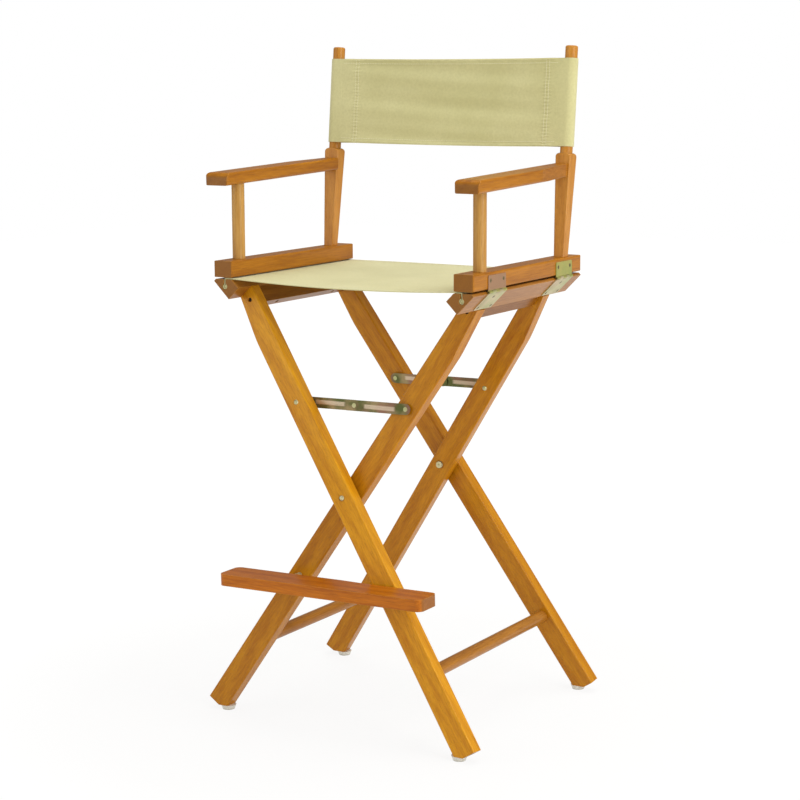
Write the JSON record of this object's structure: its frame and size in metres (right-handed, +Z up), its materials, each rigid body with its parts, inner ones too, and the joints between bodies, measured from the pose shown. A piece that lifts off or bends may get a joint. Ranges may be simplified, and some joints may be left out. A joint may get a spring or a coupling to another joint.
{
  "type": "director chair",
  "caption": "Tall folding director chair in honey-stained wood with a pale olive canvas seat and back, a footrest board and a scissor base on splayed legs",
  "frame": {"origin": "on the floor, under the middle of the whole chair's box in X and Y, footrest included", "axes": "+Z up, the sitter faces -Y, +X is to the left of a person sitting in the chair"},
  "size_m": [0.5524, 0.5065, 1.1568],
  "materials": {
    "frame_wood": "satin-gloss varnish over stained hardwood, straight grain along the piece",
    "arm_wood": "satin-gloss varnish over stained hardwood, straight grain along the piece",
    "shaded_wood": "the same stained wood with a thinner varnish",
    "footrest_wood": "satin-gloss varnish, grain along the board",
    "canvas": "matte plain-weave cotton canvas with double-stitched hems",
    "hardware": "yellow-passivated zinc plate on steel, slightly iridescent",
    "glide": "smooth moulded plastic"
  },
  "bodies": {
    "outer_frame": {"front_outer_leg": "frame_wood", "rear_outer_leg": "frame_wood", "left_lower_rail": "frame_wood", "left_apron": "shaded_wood", "outer_stretcher": "frame_wood", "outer_glides": "glide", "left_lower_leaves": "hardware", "left_lower_leaf_screws": "hardware", "outer_frame_screws": "hardware", "pivot_bolts": "hardware", "pivot_nuts": "hardware", "pivot_washers": "hardware", "outer_leg_rivets": "hardware", "footrest_peg": "footrest_wood", "left_seat_rod": "shaded_wood", "seat_canvas": "canvas"},
    "inner_frame": {"front_inner_leg": "frame_wood", "rear_inner_leg": "frame_wood", "right_lower_rail": "frame_wood", "right_apron": "shaded_wood", "inner_stretcher": "frame_wood", "inner_glides": "glide", "right_lower_leaves": "hardware", "right_lower_leaf_screws": "hardware", "inner_frame_screws": "hardware", "inner_leg_rivets": "hardware", "footrest_screw": "hardware", "footrest_sleeve": "hardware", "right_seat_rod": "shaded_wood"},
    "left_arm": {"left_upper_rail": "arm_wood", "left_armrest": "arm_wood", "left_front_post": "arm_wood", "left_back_post": "arm_wood", "left_upper_leaves": "hardware", "left_upper_leaf_screws": "hardware", "left_hinge_pins": "hardware", "left_arm_screw": "hardware", "back_canvas": "canvas"},
    "right_arm": {"right_upper_rail": "arm_wood", "right_armrest": "arm_wood", "right_front_post": "arm_wood", "right_back_post": "arm_wood", "right_upper_leaves": "hardware", "right_upper_leaf_screws": "hardware", "right_hinge_pins": "hardware", "right_arm_screw": "hardware"},
    "front_outer_brace": {"front_outer_link": "hardware"},
    "front_inner_brace": {"front_inner_link": "hardware", "front_middle_rivet": "hardware"},
    "rear_outer_brace": {"rear_outer_link": "hardware"},
    "rear_inner_brace": {"rear_inner_link": "hardware", "rear_middle_rivet": "hardware"},
    "footrest_board": {"footrest": "footrest_wood"}
  },
  "joints": [
    {"name": "frame_fold", "type": "hinge", "parent": "outer_frame", "child": "inner_frame", "pos_m": [0, 0.01735, 0.407], "axis": [0, -1, 0], "range_deg": [0, 58], "deforming": ["seat_canvas", "back_canvas"]},
    {"name": "left_arm_swing", "type": "hinge", "parent": "outer_frame", "child": "left_arm", "pos_m": [-0.2553, 0.01735, 0.7636], "axis": [0, -1, 0], "range_deg": [0, 29]},
    {"name": "right_arm_swing", "type": "hinge", "parent": "inner_frame", "child": "right_arm", "pos_m": [0.2553, 0.01735, 0.7636], "axis": [0, 1, 0], "range_deg": [0, 29]},
    {"name": "front_outer_brace_fold", "type": "hinge", "parent": "outer_frame", "child": "front_outer_brace", "pos_m": [-0.10019, -0.13641, 0.55743], "axis": [0, -0.9947, 0.1024], "range_deg": [0, 110.5]},
    {"name": "front_inner_brace_fold", "type": "hinge", "parent": "inner_frame", "child": "front_inner_brace", "pos_m": [0.10019, -0.13051, 0.55999], "axis": [0, 0.9947, -0.1024], "range_deg": [0, 110.5]},
    {"name": "rear_outer_brace_fold", "type": "hinge", "parent": "outer_frame", "child": "rear_outer_brace", "pos_m": [-0.10019, 0.17111, 0.55743], "axis": [0, -0.9947, -0.1024], "range_deg": [0, 110.5]},
    {"name": "rear_inner_brace_fold", "type": "hinge", "parent": "inner_frame", "child": "rear_inner_brace", "pos_m": [0.10019, 0.16522, 0.55999], "axis": [0, 0.9947, 0.1024], "range_deg": [0, 110.5]},
    {"name": "footrest_swing", "type": "hinge", "parent": "inner_frame", "child": "footrest_board", "pos_m": [-0.09692, 0.01735, 0.259], "axis": [0, -1, 0], "range_deg": [0, 57]}
  ],
  "couplings": [
    {"joint": "left_arm_swing", "follows": "frame_fold", "ratio": 0.5},
    {"joint": "right_arm_swing", "follows": "frame_fold", "ratio": 0.5},
    {"joint": "front_outer_brace_fold", "follows": "frame_fold", "ratio": 1.9},
    {"joint": "front_inner_brace_fold", "follows": "frame_fold", "ratio": 1.9},
    {"joint": "rear_outer_brace_fold", "follows": "frame_fold", "ratio": 1.9},
    {"joint": "rear_inner_brace_fold", "follows": "frame_fold", "ratio": 1.9}
  ]
}
